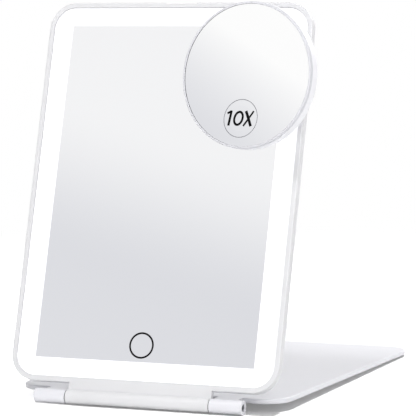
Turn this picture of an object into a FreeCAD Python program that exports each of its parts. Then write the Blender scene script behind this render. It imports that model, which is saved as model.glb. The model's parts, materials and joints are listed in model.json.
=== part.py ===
import FreeCAD, Part
import math
import os
import re
import Sketcher

# Folding travel makeup mirror: a slim lit mirror panel that leans back on a cover plate,
# joined to it by a friction hinge along the lower edge, with a round magnifier that turns
# and tilts on a magnetic puck near the panel's upper right corner. Millimetres and degrees.
#
# Panel pieces are drawn in the panel's own frame: X across, Y up the panel from the hinge axis,
# Z out of the glass. Base pieces: X across, Y back along the plate, Z up from the hinge axis.
# Magnifier pieces: X along the tilt pin, Z out of the magnifying mirror, origin at the pin.

# Driving sizes
SIZES = {
    # Panel outline and how far it leans back from upright
    "panel_width": 169.0,
    "panel_height": 230.0,
    "corner_radius": 16.0,
    "lean_angle": 16.6,
    "hinge_drop": 8.5,
    # Front bezel
    "bezel_width": 3.0,
    "bezel_lip": 0.8,
    "bezel_wall": 1.8,
    "edge_round": 0.8,
    "thumb_notch_width": 20.6,
    "thumb_notch_depth": 0.8,
    # Lit band, mirror pane and the touch ring printed on it
    "band_side": 12.4,
    "band_end": 11.3,
    "pane_thick": 2.0,
    "pane_gap": 0.1,
    "ring_radius": 7.2,
    "ring_stroke": 1.1,
    "ring_depth": 0.15,
    "ring_rise": 9.8,
    "ring_aside": 2.0,
    # Light tray behind the pane
    "tray_fit": 0.15,
    "tray_wall": 1.0,
    "tray_floor": 0.8,
    "tray_ledge": 1.5,
    "cavity_depth": 2.8,
    # Rear cover and its screws
    "cover_wall": 1.4,
    "cover_round": 2.8,
    "boss_radius": 2.4,
    "boss_inset": 10.0,
    "screw_radius": 0.8,
    "screw_fit": 0.03,
    "screw_head_radius": 1.9,
    "screw_head_thick": 0.8,
    "screw_head_gap": 0.1,
    "screw_bite": 2.2,
    "screw_slot": 0.5,
    "screw_slot_depth": 0.4,
    # Light strip
    "led_board_width": 6.0,
    "led_board_thick": 0.8,
    "led_length": 3.5,
    "led_width": 2.8,
    "led_thick": 0.8,
    "led_pitch": 9.0,
    "ribbon_width": 4.0,
    "ribbon_thick": 0.3,
    # Control board, touch sensor and charging socket
    "board_height": 20.0,
    "board_thick": 0.8,
    "board_gap": 1.0,
    "board_overhang": 4.0,
    "tongue_half": 6.0,
    "sensor_radius": 7.6,
    "sensor_gap": 0.4,
    "port_width": 8.94,
    "port_height": 3.2,
    "port_corner": 1.5,
    "port_length": 7.3,
    "port_shell": 0.3,
    "port_cavity": 6.0,
    "port_gap": 0.3,
    "port_recess": 0.3,
    "port_tongue_width": 6.7,
    "port_tongue_thick": 0.7,
    "port_tongue_set": 1.0,
    "pipe_radius": 0.8,
    "pipe_fit": 0.05,
    "pipe_offset": 8.2,
    "notch_half": 10.0,
    "chip_size": 6.0,
    "chip_thick": 1.0,
    "coil_size": 4.0,
    "connector_width": 6.0,
    "connector_length": 4.0,
    "connector_thick": 1.4,
    "ribbon_socket_length": 4.4,
    # Battery
    "battery_width": 56.0,
    "battery_height": 85.0,
    "battery_room": 0.4,
    "battery_space": 12.0,
    "lead_radius": 0.6,
    "lead_pitch": 2.4,
    # Hinge
    "barrel_radius": 4.3,
    "barrel_length": 131.0,
    "knuckle_length": 20.0,
    "knuckle_gap": 0.5,
    "knuckle_ease": 0.05,
    "knuckle_round": 0.4,
    "arm_inset": 5.0,
    "tab_depth": 3.2,
    "shaft_radius": 1.5,
    "shaft_fit": 0.04,
    "shaft_seat": 0.02,
    "sleeve_wall": 1.0,
    "sleeve_length": 18.0,
    "sleeve_fit": 0.03,
    "washer_rim": 0.4,
    "washer_ease": 0.06,
    "end_screw_radius": 2.4,
    "end_screw_length": 4.0,
    "end_screw_recess": 0.6,
    "end_screw_fit": 0.03,
    "hex_flats": 2.8,
    "hex_depth": 2.4,
    # Cover plate that the mirror stands on, and its two feet
    "plate_length": 240.0,
    "plate_thick": 3.1,
    "plate_setback": 11.5,
    "plate_drop": 0.5,
    "plate_edge_round": 1.0,
    "foot_length": 26.0,
    "foot_width": 6.0,
    "foot_height": 1.0,
    "foot_inset": 6.0,
    "foot_side_inset": 32.0,
    # Magnifier
    "magnifier_radius": 42.6,
    "magnifier_wall": 1.6,
    "magnifier_round": 1.5,
    "rim_width": 1.5,
    "rim_depth": 2.4,
    "rim_round": 0.5,
    "mirror_recess": 0.6,
    "mirror_fit": 0.1,
    "mirror_curve": 280.0,
    "mirror_glass": 2.0,
    "cushion_radius": 20.0,
    "cushion_thin": 1.9,
    "magnifier_turn": -48.2,
    "magnifier_tilt": 12.1,
    # Magnetic puck that carries it
    "puck_inset_side": 12.0,
    "puck_inset_top": 33.65,
    "puck_radius": 12.5,
    "puck_height": 4.4,
    "puck_round": 1.0,
    "pad_thick": 0.6,
    "pad_margin": 0.4,
    "pad_ease": 0.05,
    "magnet_radius": 9.0,
    "magnet_thick": 2.4,
    "magnet_fit": 0.05,
    "target_margin": 3.0,
    "target_thick": 1.0,
    "pin_height": 11.0,
    "pin_radius": 1.2,
    "pin_fit": 0.04,
    "pin_seat": 0.02,
    "ear_radius": 3.0,
    "ear_thick": 2.4,
    "lug_radius": 2.8,
    "lug_width": 5.0,
    "lug_gap": 0.15,
    "lug_reach": 3.4,
}

# Sizes worked out from the driving ones
DERIVED = {
    "panel_half": "panel_width / 2",
    "panel_bottom": "hinge_drop",
    "panel_top": "hinge_drop + panel_height",
    "pane_back": "bezel_lip + pane_thick",
    "cavity_front": "pane_back + tray_wall",
    "tray_back": "cavity_front + cavity_depth",
    "panel_depth": "tray_back + cover_wall",
    "bezel_depth": "(pane_back + tray_back) / 2",
    "seat_half": "panel_half - bezel_wall",
    "seat_bottom": "panel_bottom + bezel_wall",
    "seat_top": "panel_top - bezel_wall",
    "seat_radius": "corner_radius - bezel_wall",
    "window_half": "panel_half - bezel_width",
    "window_bottom": "panel_bottom + bezel_width",
    "window_top": "panel_top - bezel_width",
    "window_radius": "corner_radius - bezel_width",
    "pane_half": "window_half - band_side",
    "pane_bottom": "window_bottom + band_end",
    "pane_top": "window_top - band_end",
    "ring_y": "pane_bottom + ring_rise",
    "moat_half": "seat_half - tray_fit - tray_wall",
    "moat_bottom": "seat_bottom + tray_fit + tray_wall",
    "moat_top": "seat_top - tray_fit - tray_wall",
    "moat_radius": "seat_radius - tray_fit - tray_wall",
    "plateau_half": "pane_half + tray_ledge",
    "plateau_bottom": "pane_bottom - tray_ledge",
    "plateau_top": "pane_top + tray_ledge",
    "cavity_half": "plateau_half - tray_wall",
    "cavity_bottom": "plateau_bottom + tray_wall",
    "cavity_top": "plateau_top - tray_wall",
    "strip_half": "(moat_half + plateau_half) / 2",
    "strip_bottom": "(moat_bottom + plateau_bottom) / 2",
    "strip_top": "(moat_top + plateau_top) / 2",
    "strip_back": "tray_back - tray_floor",
    "strip_front": "strip_back - led_board_thick",
    "board_bottom": "cavity_bottom + board_gap",
    "board_top": "board_bottom + board_height",
    "board_left": "cavity_half - board_gap",
    "board_right": "sensor_radius + board_overhang",
    "board_back": "cavity_front + board_thick",
    "port_y": "board_bottom + board_height / 2",
    "port_mouth": "panel_half - port_recess",
    "port_end": "port_mouth - port_length",
    "port_half": "port_width / 2",
    "ribbon_bottom": "port_y + tongue_half",
    "battery_bottom": "board_top + battery_space",
    "battery_top": "battery_bottom + battery_height",
    "battery_back": "tray_back - battery_room",
    "boss_half": "cavity_half - boss_inset",
    "boss_low": "battery_bottom + boss_inset",
    "boss_high": "cavity_top - boss_inset",
    "centre_knuckle": "barrel_length - 2 * (knuckle_length + knuckle_gap)",
    "barrel_half": "barrel_length / 2",
    "knuckle_inner": "barrel_half - knuckle_length",
    "sleeve_inner_radius": "shaft_radius + shaft_fit",
    "sleeve_outer_radius": "sleeve_inner_radius + sleeve_wall",
    "sleeve_bore": "sleeve_outer_radius + sleeve_fit",
    "shaft_start": "centre_knuckle / 2 - sleeve_length",
    "shaft_end": "barrel_half - end_screw_recess - end_screw_length",
    "plate_top": "barrel_radius - plate_drop",
    "plate_under": "plate_top - plate_thick",
    "plate_end": "plate_setback + plate_length",
    "foot_reach": "plate_end - foot_inset",
    "foot_x": "panel_half - foot_side_inset",
    "plate_slope": "asin((barrel_radius + plate_under - foot_height) / foot_reach)",
    "puck_x": "pane_half - puck_inset_side",
    "puck_y": "pane_top - puck_inset_top",
    "puck_top": "pad_thick + puck_height",
    "target_radius": "magnet_radius + target_margin",
    "mirror_radius": "magnifier_radius - rim_width",
    "mirror_sag": "mirror_curve - sqrt(mirror_curve ^ 2 - mirror_radius ^ 2)",
    "cushion_back": "lug_reach + magnifier_wall",
    "mirror_edge": "cushion_back + cushion_thin + mirror_glass + mirror_sag",
    "mirror_centre": "mirror_edge + sqrt(mirror_curve ^ 2 - mirror_radius ^ 2)",
    "magnifier_front": "mirror_edge + mirror_recess",
    "housing_front": "magnifier_front - rim_depth",
    "magnifier_aside": "sin(magnifier_tilt) * sin(magnifier_turn)",
    "magnifier_right": "puck_x + (lug_reach + magnifier_round) * magnifier_aside"
                       " + magnifier_radius * sqrt(1 - magnifier_aside ^ 2)",
    "middle_x": "(panel_half - max(panel_half; magnifier_right)) / 2",
    "middle_y": "(barrel_radius - plate_end) / 2",
}

X_AXIS = FreeCAD.Vector(1, 0, 0)
Z_AXIS = FreeCAD.Vector(0, 0, 1)

doc = FreeCAD.newDocument("travel_makeup_mirror")
sheet = doc.addObject("Spreadsheet::Sheet", "Sizes")
for row, (alias, number) in enumerate(SIZES.items(), start=1):
    sheet.set(f"A{row}", alias)
    sheet.set(f"B{row}", str(number))
    sheet.setAlias(f"B{row}", alias)
doc.recompute()


def formula(text):
    """Spell out a size in terms of the sheet's cells."""
    def spelled(match):
        word = match.group(0)
        if word in DERIVED:
            return f"({formula(DERIVED[word])})"
        return f"Sizes.{word}" if word in SIZES else word
    return re.sub(r"[a-z][a-z_]*", spelled, text)


def value(text):
    """Number that a size stands for."""
    result = sheet.evalExpression(formula(text))
    return float(getattr(result, "Value", result))


# Sketches

def new_body(name):
    """Start the body of one piece."""
    return doc.addObject("PartDesign::Body", name)


def new_sketch(body, role, height="0"):
    """Open a sketch on one of the body's own planes, a height above it."""
    sketch = body.newObject("Sketcher::SketchObject", f"{body.Name}_sketch")
    plane = next(item for item in body.Origin.OriginFeatures if item.Role == role)
    sketch.AttachmentSupport = [(plane, "")]
    sketch.MapMode = "FlatFace"
    sketch.setExpression("AttachmentOffset.Base.z", formula(height))
    return sketch


def limit(sketch, kind, geometry, *rest):
    """Add a constraint, whose last entry is a size when it is text."""
    if rest and isinstance(rest[-1], str):
        index = sketch.addConstraint(Sketcher.Constraint(kind, geometry, *rest[:-1], value(rest[-1])))
        sketch.setExpression(f"Constraints[{index}]", formula(rest[-1]))
    else:
        sketch.addConstraint(Sketcher.Constraint(kind, geometry, *rest))


def draw_circle(sketch, x, y, radius):
    """Circle about a point; with no point, about the sketch's origin."""
    centre = FreeCAD.Vector(value(x or "0"), value(y or "0"), 0)
    circle = sketch.addGeometry(Part.Circle(centre, Z_AXIS, value(radius)), False)
    if x is None:
        limit(sketch, "Coincident", circle, 3, -1, 1)
    else:
        limit(sketch, "DistanceX", circle, 3, x)
        limit(sketch, "DistanceY", circle, 3, y)
    limit(sketch, "Radius", circle, radius)


def draw_box(sketch, left, right, bottom, top):
    """Rectangle between four sides."""
    x0, x1, y0, y1 = (value(side) for side in (left, right, bottom, top))
    corners = [(x0, y0), (x1, y0), (x1, y1), (x0, y1)]
    points = [FreeCAD.Vector(x, y, 0) for x, y in corners]
    lines = []
    for start, end in zip(points, points[1:] + points[:1]):
        lines.append(sketch.addGeometry(Part.LineSegment(start, end), False))
    for line, following in zip(lines, lines[1:] + lines[:1]):
        limit(sketch, "Coincident", line, 2, following, 1)
    hold_sides(sketch, lines, left, right, bottom, top)


def draw_rounded(sketch, left, right, bottom, top, radius):
    """Rectangle between four sides with rounded corners."""
    x0, x1, y0, y1, turn = (value(side) for side in (left, right, bottom, top, radius))
    sides = [
        ((x0 + turn, y0), (x1 - turn, y0)),
        ((x1, y0 + turn), (x1, y1 - turn)),
        ((x1 - turn, y1), (x0 + turn, y1)),
        ((x0, y1 - turn), (x0, y0 + turn)),
    ]
    centres = [(x1 - turn, y0 + turn), (x1 - turn, y1 - turn), (x0 + turn, y1 - turn), (x0 + turn, y0 + turn)]
    lines = []
    arcs = []
    for quarter, ((start, end), centre) in enumerate(zip(sides, centres)):
        line = Part.LineSegment(FreeCAD.Vector(*start, 0), FreeCAD.Vector(*end, 0))
        circle = Part.Circle(FreeCAD.Vector(*centre, 0), Z_AXIS, turn)
        begin = (quarter - 1) * math.pi / 2
        lines.append(sketch.addGeometry(line, False))
        arcs.append(sketch.addGeometry(Part.ArcOfCircle(circle, begin, begin + math.pi / 2), False))
    for line, arc, following in zip(lines, arcs, lines[1:] + lines[:1]):
        limit(sketch, "Tangent", line, 2, arc, 1)
        limit(sketch, "Tangent", arc, 2, following, 1)
    for arc in arcs[1:]:
        limit(sketch, "Equal", arcs[0], arc)
    limit(sketch, "Radius", arcs[0], radius)
    hold_sides(sketch, lines, left, right, bottom, top)


def hold_sides(sketch, lines, left, right, bottom, top):
    """Hold the lower, right, upper and left lines of an outline at their places."""
    for kind, lie, line, place in (
        ("DistanceY", "Horizontal", lines[0], bottom),
        ("DistanceX", "Vertical", lines[1], right),
        ("DistanceY", "Horizontal", lines[2], top),
        ("DistanceX", "Vertical", lines[3], left),
    ):
        limit(sketch, lie, line)
        limit(sketch, kind, line, 1, place)


def draw_hexagon(sketch, flats):
    """Regular hexagon about the sketch's origin, a size across its flats."""
    reach = value(flats) / math.sqrt(3)
    points = [
        FreeCAD.Vector(reach * math.cos(step * math.pi / 3), reach * math.sin(step * math.pi / 3), 0)
        for step in range(6)
    ]
    lines = []
    for start, end in zip(points, points[1:] + points[:1]):
        lines.append(sketch.addGeometry(Part.LineSegment(start, end), False))
    guide = sketch.addGeometry(Part.Circle(FreeCAD.Vector(0, 0, 0), Z_AXIS, reach), True)
    limit(sketch, "Coincident", guide, 3, -1, 1)
    limit(sketch, "Radius", guide, f"({flats}) / sqrt(3)")
    for line, following in zip(lines, lines[1:] + lines[:1]):
        limit(sketch, "Coincident", line, 2, following, 1)
        limit(sketch, "PointOnObject", line, 1, guide)
    for line in lines[1:]:
        limit(sketch, "Equal", lines[0], line)
    limit(sketch, "PointOnObject", lines[0], 1, -1)


# Features

def pad(body, sketch, length, symmetric=False, reverse=False):
    """Raise a sketch along its normal, against it, or equally both ways."""
    feature = body.newObject("PartDesign::Pad", f"{body.Name}_pad")
    feature.Profile = sketch
    feature.setExpression("Length", formula(length))
    feature.SideType = "Symmetric" if symmetric else "One side"
    feature.Reversed = reverse
    doc.recompute()
    return feature


def pocket(body, sketch, length, symmetric=False, along_normal=False):
    """Cut a sketch into the body, against its normal unless told otherwise."""
    before = body.Shape.Volume
    feature = body.newObject("PartDesign::Pocket", f"{body.Name}_pocket")
    feature.Profile = sketch
    feature.setExpression("Length", formula(length))
    feature.SideType = "Symmetric" if symmetric else "One side"
    feature.Reversed = along_normal
    doc.recompute()
    if body.Shape.Volume >= before:
        raise RuntimeError(f"a cut in {body.Name} removed nothing")
    return feature


def rim_names(shape, place, axis="Z"):
    """Names of the edges round the widest flat face at a place along an axis."""
    flat = [
        face for face in shape.Faces
        if abs(getattr(face.BoundBox, f"{axis}Min") - place) < 1e-6
        and abs(getattr(face.BoundBox, f"{axis}Max") - place) < 1e-6
    ]
    wanted = max(flat, key=lambda face: face.Area).OuterWire.Edges
    return [
        f"Edge{number}" for number, edge in enumerate(shape.Edges, start=1)
        if any(edge.isSame(other) for other in wanted)
    ]


def round_edges(body, names, radius):
    """Round named edges of the body as it stands."""
    feature = body.newObject("PartDesign::Fillet", f"{body.Name}_round")
    feature.Base = (body.Tip if body.Tip is not feature else feature.BaseFeature, names)
    feature.setExpression("Radius", formula(radius))
    doc.recompute()
    return feature


def solid_group(name, solids):
    """Several like solids kept as one piece of the list."""
    group = doc.addObject("Part::Feature", name)
    group.Shape = Part.makeCompound(solids)
    return group


def block(left, right, bottom, top, back, front):
    """Plain block between six sides."""
    corner = FreeCAD.Vector(left, bottom, back)
    return Part.makeBox(right - left, top - bottom, front - back, corner)


def rod(name, radius, start, end, y, z, hole=None):
    """Round bar along X, or a sleeve when it has a hole."""
    body = new_body(name)
    sketch = new_sketch(body, "YZ_Plane", start)
    draw_circle(sketch, y, z, radius)
    if hole:
        draw_circle(sketch, y, z, hole)
    pad(body, sketch, f"({end}) - ({start})")
    return body


def disc(name, x, y, radius, back, front):
    """Round plate lying parallel to the panel."""
    body = new_body(name)
    sketch = new_sketch(body, "XY_Plane", back)
    draw_circle(sketch, x, y, radius)
    pad(body, sketch, f"({front}) - ({back})")
    return body


# Panel pieces

def draw_port(sketch, gap):
    """Outline of the charging socket on the panel's side, with room round it."""
    draw_rounded(
        sketch,
        f"port_y - port_half - {gap}",
        f"port_y + port_half + {gap}",
        f"-bezel_depth - port_height / 2 - {gap}",
        f"-bezel_depth + port_height / 2 + {gap}",
        f"port_corner + {gap}",
    )


def cut_side_openings(body):
    """Openings for the charging socket and the charge light in the panel's left side."""
    mouth = new_sketch(body, "YZ_Plane", "-panel_half - bezel_wall")
    draw_port(mouth, "port_gap")
    pocket(body, mouth, "3 * bezel_wall", along_normal=True)
    light = new_sketch(body, "YZ_Plane", "-panel_half - bezel_wall")
    draw_circle(light, "port_y - pipe_offset", "-bezel_depth", "pipe_radius + pipe_fit")
    pocket(body, light, "3 * bezel_wall", along_normal=True)


def cut_thumb_notch(body, height):
    """Shallow recess for a thumb in the middle of the panel's upper edge."""
    notch = new_sketch(body, "XY_Plane", height)
    draw_box(
        notch, "-thumb_notch_width / 2", "thumb_notch_width / 2",
        "panel_top - thumb_notch_depth", "panel_top + thumb_notch_depth",
    )
    pocket(body, notch, "panel_depth")


def make_front_bezel():
    """Frame round the lit band, one moulding with the hinge tab and the middle knuckle."""
    body = new_body("front_bezel")
    outline = new_sketch(body, "XY_Plane", "-bezel_depth")
    draw_rounded(outline, "-panel_half", "panel_half", "panel_bottom", "panel_top", "corner_radius")
    pad(body, outline, "bezel_depth")
    seat = new_sketch(body, "XY_Plane", "-bezel_depth")
    draw_rounded(seat, "-seat_half", "seat_half", "seat_bottom", "seat_top", "seat_radius")
    pocket(body, seat, "bezel_depth - bezel_lip", along_normal=True)
    window = new_sketch(body, "XY_Plane")
    draw_rounded(window, "-window_half", "window_half", "window_bottom", "window_top", "window_radius")
    pocket(body, window, "bezel_lip")
    round_edges(body, rim_names(body.Shape, 0), "edge_round")
    cut_thumb_notch(body, "0")
    cut_side_openings(body)
    tab = new_sketch(body, "XY_Plane", "-tab_depth")
    draw_box(tab, "-centre_knuckle / 2", "centre_knuckle / 2", "-barrel_radius / 2", "seat_bottom")
    pad(body, tab, "tab_depth")
    knuckle = new_sketch(body, "YZ_Plane")
    draw_circle(knuckle, None, None, "barrel_radius - knuckle_ease")
    pad(body, knuckle, "centre_knuckle", symmetric=True)
    bore = new_sketch(body, "YZ_Plane")
    draw_circle(bore, None, None, "sleeve_bore")
    pocket(body, bore, "barrel_length", symmetric=True)
    return body


def make_light_diffuser():
    """Milky frame that glows round the mirror pane."""
    body = new_body("light_diffuser")
    frame = new_sketch(body, "XY_Plane", "-pane_back")
    draw_rounded(
        frame, "-seat_half + tray_fit", "seat_half - tray_fit",
        "seat_bottom + tray_fit", "seat_top - tray_fit", "seat_radius - tray_fit",
    )
    draw_box(
        frame, "-pane_half - pane_gap", "pane_half + pane_gap",
        "pane_bottom - pane_gap", "pane_top + pane_gap",
    )
    pad(body, frame, "pane_thick")
    return body


def make_mirror_pane():
    """Flat mirror with a fine groove for the touch ring."""
    body = new_body("mirror_pane")
    sheet_outline = new_sketch(body, "XY_Plane", "-pane_back")
    draw_box(sheet_outline, "-pane_half", "pane_half", "pane_bottom", "pane_top")
    pad(body, sheet_outline, "pane_thick")
    groove = new_sketch(body, "XY_Plane", "-bezel_lip")
    draw_ring(groove)
    pocket(body, groove, "ring_depth")
    return body


def draw_ring(sketch):
    """Outline of the touch ring."""
    draw_circle(sketch, "-ring_aside", "ring_y", "ring_radius + ring_stroke / 2")
    draw_circle(sketch, "-ring_aside", "ring_y", "ring_radius - ring_stroke / 2")


def make_touch_ring():
    """Dark ring that marks where to touch."""
    body = new_body("touch_ring")
    ring = new_sketch(body, "XY_Plane", "-bezel_lip - ring_depth")
    draw_ring(ring)
    pad(body, ring, "ring_depth")
    return body


def boss_places():
    """Centres of the cover's screws, in three rows."""
    rows = ("boss_low", "(boss_low + boss_high) / 2", "boss_high")
    return [(side, row) for row in rows for side in ("-boss_half", "boss_half")]


def make_light_tray():
    """White tray: a raised middle carries the pane, and a channel round it holds the light strip."""
    body = new_body("light_tray")
    outline = new_sketch(body, "XY_Plane", "-tray_back")
    draw_rounded(
        outline, "-seat_half + tray_fit", "seat_half - tray_fit",
        "seat_bottom + tray_fit", "seat_top - tray_fit", "seat_radius - tray_fit",
    )
    pad(body, outline, "tray_back - pane_back")
    moat = new_sketch(body, "XY_Plane", "-pane_back")
    draw_rounded(moat, "-moat_half", "moat_half", "moat_bottom", "moat_top", "moat_radius")
    draw_box(moat, "-plateau_half", "plateau_half", "plateau_bottom", "plateau_top")
    pocket(body, moat, "strip_back - pane_back")
    cavity = new_sketch(body, "XY_Plane", "-tray_back")
    draw_box(cavity, "-cavity_half", "cavity_half", "cavity_bottom", "cavity_top")
    pocket(body, cavity, "cavity_depth", along_normal=True)
    notch = new_sketch(body, "YZ_Plane", "-panel_half")
    draw_box(notch, "port_y - notch_half", "port_y + notch_half", "-tray_back - tray_floor", "-pane_back")
    pocket(body, notch, "panel_half - cavity_half + tray_fit", along_normal=True)
    bosses = new_sketch(body, "XY_Plane", "-tray_back")
    for x, y in boss_places():
        draw_circle(bosses, x, y, "boss_radius")
    pad(body, bosses, "cavity_depth")
    holes = new_sketch(body, "XY_Plane", "-tray_back")
    for x, y in boss_places():
        draw_circle(holes, x, y, "screw_radius + screw_fit")
    pocket(body, holes, "screw_bite + screw_fit", along_normal=True)
    touch = new_sketch(body, "XY_Plane", "-pane_back")
    draw_circle(touch, "-ring_aside", "ring_y", "sensor_radius + sensor_gap")
    pocket(body, touch, "tray_wall")
    return body


def make_rear_cover():
    """Back shell with a rounded edge, a thumb notch and recessed screw holes."""
    body = new_body("rear_cover")
    outline = new_sketch(body, "XY_Plane", "-panel_depth")
    draw_rounded(outline, "-panel_half", "panel_half", "panel_bottom", "panel_top", "corner_radius")
    pad(body, outline, "panel_depth - bezel_depth")
    inside = new_sketch(body, "XY_Plane", "-bezel_depth")
    draw_rounded(inside, "-seat_half", "seat_half", "seat_bottom", "seat_top", "seat_radius")
    pocket(body, inside, "tray_back - bezel_depth")
    edge = rim_names(body.Shape, value("-panel_depth"))
    round_edges(body, edge, "min(cover_round; 0.9 * (panel_depth - bezel_depth))")
    cut_thumb_notch(body, "0")
    cut_side_openings(body)
    heads = new_sketch(body, "XY_Plane", "-panel_depth")
    for x, y in boss_places():
        draw_circle(heads, x, y, "screw_head_radius + screw_head_gap")
    pocket(body, heads, "screw_head_thick + screw_head_gap", along_normal=True)
    shanks = new_sketch(body, "XY_Plane", "-panel_depth")
    for x, y in boss_places():
        draw_circle(shanks, x, y, "screw_radius + screw_head_gap")
    pocket(body, shanks, "cover_wall", along_normal=True)
    return body


def make_cover_screws():
    """Small cross-headed screws that hold the rear cover to the tray."""
    head_back = value("-panel_depth + screw_head_gap")
    head_front = value("-panel_depth + screw_head_gap + screw_head_thick")
    tip = value("-tray_back + screw_bite")
    half_slot = value("screw_slot") / 2
    reach = value("screw_head_radius") * 0.6
    screws = []
    for x, y in boss_places():
        place = FreeCAD.Vector(value(x), value(y), head_back)
        head = Part.makeCylinder(value("screw_head_radius"), head_front - head_back, place)
        shank = Part.makeCylinder(value("screw_radius"), tip - head_back, place)
        screw = head.fuse(shank)
        floor = head_back + value("screw_slot_depth")
        upright = block(
            place.x - half_slot, place.x + half_slot, place.y - reach, place.y + reach, head_back, floor)
        across = block(
            place.x - reach, place.x + reach, place.y - half_slot, place.y + half_slot, head_back, floor)
        screws.append(screw.cut(upright.fuse(across)))
    return solid_group("cover_screws", screws)


def make_led_board():
    """Narrow circuit board that runs round the light channel, open at the charging socket."""
    body = new_body("led_board")
    strip = new_sketch(body, "XY_Plane", "-strip_back")
    half = "led_board_width / 2"
    draw_rounded(
        strip, f"-strip_half - {half}", f"strip_half + {half}",
        f"strip_bottom - {half}", f"strip_top + {half}", "led_board_width",
    )
    draw_box(
        strip, f"-strip_half + {half}", f"strip_half - {half}",
        f"strip_bottom + {half}", f"strip_top - {half}",
    )
    pad(body, strip, "led_board_thick")
    gap = new_sketch(body, "XY_Plane", "-strip_front")
    draw_box(
        gap, "-strip_half - led_board_width", "-strip_half + led_board_width",
        "port_y - notch_half", "ribbon_bottom",
    )
    pocket(body, gap, "led_board_thick")
    return body


def led_places():
    """Centres of the lights along the strip, with whether each lies along X."""
    half, bottom, top = value("strip_half"), value("strip_bottom"), value("strip_top")
    pitch = value("led_pitch")
    across = int((2 * half - pitch) // pitch)
    upward = int((top - bottom - pitch) // pitch)
    places = []
    for step in range(across + 1):
        x = (step - across / 2) * pitch
        places += [(x, bottom, True), (x, top, True)]
    for step in range(upward + 1):
        y = (bottom + top) / 2 + (step - upward / 2) * pitch
        places.append((half, y, False))
        if not value("port_y - notch_half - led_length") < y < value("ribbon_bottom + led_length"):
            places.append((-half, y, False))
    return places


def make_leds():
    """Light-emitting diodes in their little housings."""
    length, width = value("led_length") / 2, value("led_width") / 2
    back, front = value("-strip_front"), value("-strip_front + led_thick")
    lights = []
    for x, y, flat in led_places():
        reach_x, reach_y = (length, width) if flat else (width, length)
        lights.append(block(x - reach_x, x + reach_x, y - reach_y, y + reach_y, back, front))
    return solid_group("leds", lights)


def make_led_ribbon():
    """Flat lead from the light strip to the control board."""
    body = new_body("led_ribbon")
    lead = new_sketch(body, "XY_Plane", "-board_back - ribbon_thick - ribbon_thick")
    draw_box(
        lead, "-strip_half + led_board_width / 2", "-board_left + ribbon_socket_length",
        "ribbon_bottom", "ribbon_bottom + ribbon_width",
    )
    pad(body, lead, "ribbon_thick")
    return body


def make_control_board():
    """Circuit board under the touch ring, with a tongue that holds the charging socket."""
    body = new_body("control_board")
    main = new_sketch(body, "XY_Plane", "-board_back")
    draw_box(main, "-board_left", "board_right", "board_bottom", "board_top")
    pad(body, main, "board_thick")
    tongue = new_sketch(body, "XY_Plane", "-board_back")
    draw_box(
        tongue, "-moat_half + board_gap", "-board_left + board_gap",
        "port_y - tongue_half", "port_y + tongue_half",
    )
    pad(body, tongue, "board_thick")
    slot = new_sketch(body, "XY_Plane", "-cavity_front")
    draw_box(
        slot, "-panel_half", "-port_end + pipe_fit",
        "port_y - port_half - pipe_fit", "port_y + port_half + pipe_fit",
    )
    pocket(body, slot, "board_thick")
    return body


def make_board_parts():
    """Charging chip, coil, charge light, ribbon socket and battery connector on the board."""
    front = value("-board_back")
    middle = value("port_y")
    left = value("-board_left")
    chip = value("chip_size") / 2
    coil = value("coil_size") / 2
    lead = value("lead_pitch")
    tall = value("chip_thick")
    pipe = value("pipe_radius")
    pipe_y = value("port_y - pipe_offset")
    ribbon = value("ribbon_bottom")
    chip_x = left + 6 * chip
    coil_x = chip_x + 2 * chip + 2 * coil
    parts = [
        block(chip_x - chip, chip_x + chip, middle - chip, middle + chip, front - tall, front),
        block(coil_x - coil, coil_x + coil, middle - coil, middle + coil, front - tall, front),
        block(left, left + 2 * pipe, pipe_y - pipe, pipe_y + pipe, front - 2 * pipe, front),
        block(
            left, left + value("ribbon_socket_length"), ribbon, ribbon + value("ribbon_width"),
            front - value("ribbon_thick"), front,
        ),
        block(
            -lead / 2 - value("connector_width") / 2, -lead / 2 + value("connector_width") / 2,
            value("board_top - connector_length"), value("board_top"),
            front - value("connector_thick"), front,
        ),
    ]
    return solid_group("board_parts", parts)


def make_usb_socket():
    """Charging socket: a thin shell round a flat tongue."""
    body = new_body("usb_socket")
    shell = new_sketch(body, "YZ_Plane", "-port_mouth")
    draw_port(shell, "0")
    pad(body, shell, "port_length")
    mouth = new_sketch(body, "YZ_Plane", "-port_mouth")
    draw_port(mouth, "(-port_shell)")
    pocket(body, mouth, "port_cavity", along_normal=True)
    tongue = new_sketch(body, "YZ_Plane", "-port_mouth + port_tongue_set")
    draw_box(
        tongue, "port_y - port_tongue_width / 2", "port_y + port_tongue_width / 2",
        "-bezel_depth - port_tongue_thick / 2", "-bezel_depth + port_tongue_thick / 2",
    )
    pad(body, tongue, "port_length - port_tongue_set")
    return body


def make_battery():
    """Flat pouch cell behind the pane."""
    body = new_body("battery")
    pouch = new_sketch(body, "XY_Plane", "-battery_back")
    draw_rounded(
        pouch, "-battery_width / 2", "battery_width / 2",
        "battery_bottom", "battery_top", "corner_radius / 8",
    )
    pad(body, pouch, "battery_back - cavity_front")
    return body


def make_battery_leads():
    """Two wires from the pouch cell to its connector."""
    depth = value("-board_back - connector_thick / 2")
    length = value("battery_bottom - board_top")
    wires = []
    for x in (0, -value("lead_pitch")):
        start = FreeCAD.Vector(x, value("board_top"), depth)
        wires.append(Part.makeCylinder(value("lead_radius"), length, start, FreeCAD.Vector(0, 1, 0)))
    return solid_group("battery_leads", wires)


# Hinge pieces, each made once for the left side and once for the right

def side_rod(name, side, radius, start, end, hole=None):
    """Round bar or sleeve on the hinge axis, at the same distances on either side."""
    first, last = (start, end) if side > 0 else (f"-({end})", f"-({start})")
    return rod(name, radius, first, last, None, None, hole)


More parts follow.
